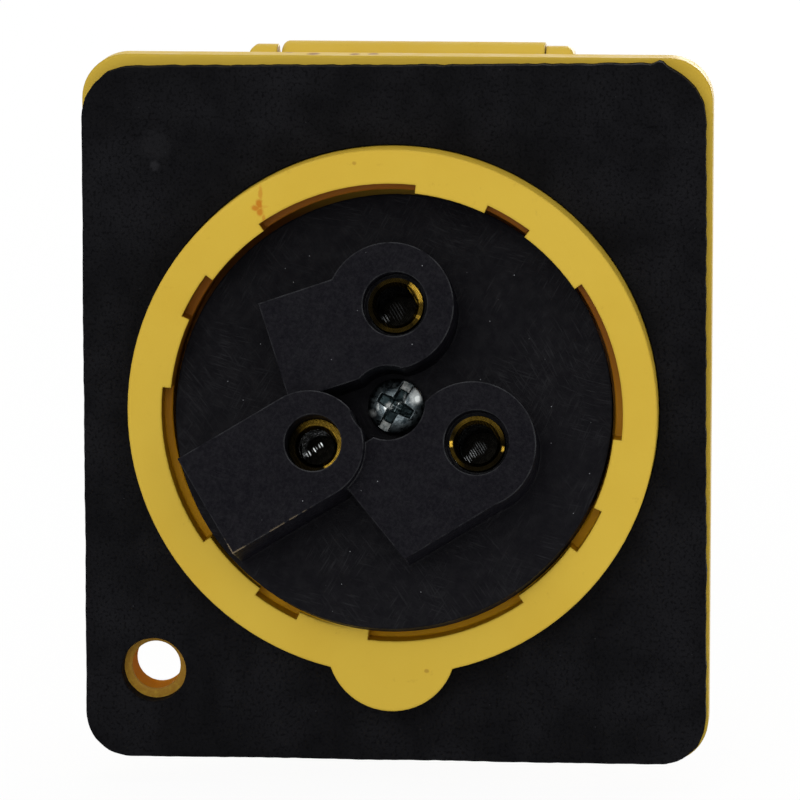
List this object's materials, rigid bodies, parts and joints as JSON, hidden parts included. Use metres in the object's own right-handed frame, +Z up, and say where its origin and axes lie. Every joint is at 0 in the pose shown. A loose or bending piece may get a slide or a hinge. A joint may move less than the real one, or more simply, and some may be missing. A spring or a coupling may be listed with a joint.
{
  "type": "flush mount angled socket",
  "caption": "Panel socket with a square flange, foam gasket, rear terminal towers, angled round plug shroud and a spring-closed hinged lid.",
  "frame": {"origin": "on the axis of the rear collar, on the back face of the gasket, where the panel's front face lies", "axes": "+Y out of the panel towards the plug, +Z up the panel, +X to the right when seen from the wiring side"},
  "size_m": [0.0716, 0.0624, 0.0833],
  "materials": {
    "yellow_moulding": "worn satin moulding",
    "foam_gasket": "hand-cut foam rubber",
    "black_moulding": "scratched satin thermoset",
    "brass": "turned",
    "zinc_steel": "bright zinc",
    "spring_steel": "drawn wire",
    "rubber_seal": "moulded rubber"
  },
  "bodies": {
    "socket": {"housing": "yellow_moulding", "panel_gasket": "foam_gasket", "contact_carrier": "black_moulding", "contact_face": "black_moulding", "centre_screw": "zinc_steel", "line_contact": "brass", "neutral_contact": "brass", "earth_contact": "brass", "line_contact_spring": "spring_steel", "neutral_contact_spring": "spring_steel", "earth_contact_spring": "spring_steel", "line_terminal_screw": "zinc_steel", "neutral_terminal_screw": "zinc_steel", "earth_terminal_screw": "zinc_steel", "hinge_pin": "spring_steel", "lid_spring": "spring_steel"},
    "lid": {"lid": "yellow_moulding", "lid_seal": "rubber_seal"}
  },
  "joints": [
    {"name": "lid_hinge", "type": "hinge", "parent": "socket", "child": "lid", "pos_m": [0, 0.02506, 0.03615], "axis": [1, 0, 0], "range_deg": [0, 115], "stiffness_Nm_per_rad": 0.02, "springref_deg": -34.38, "deforming": ["lid_spring"]}
  ]
}
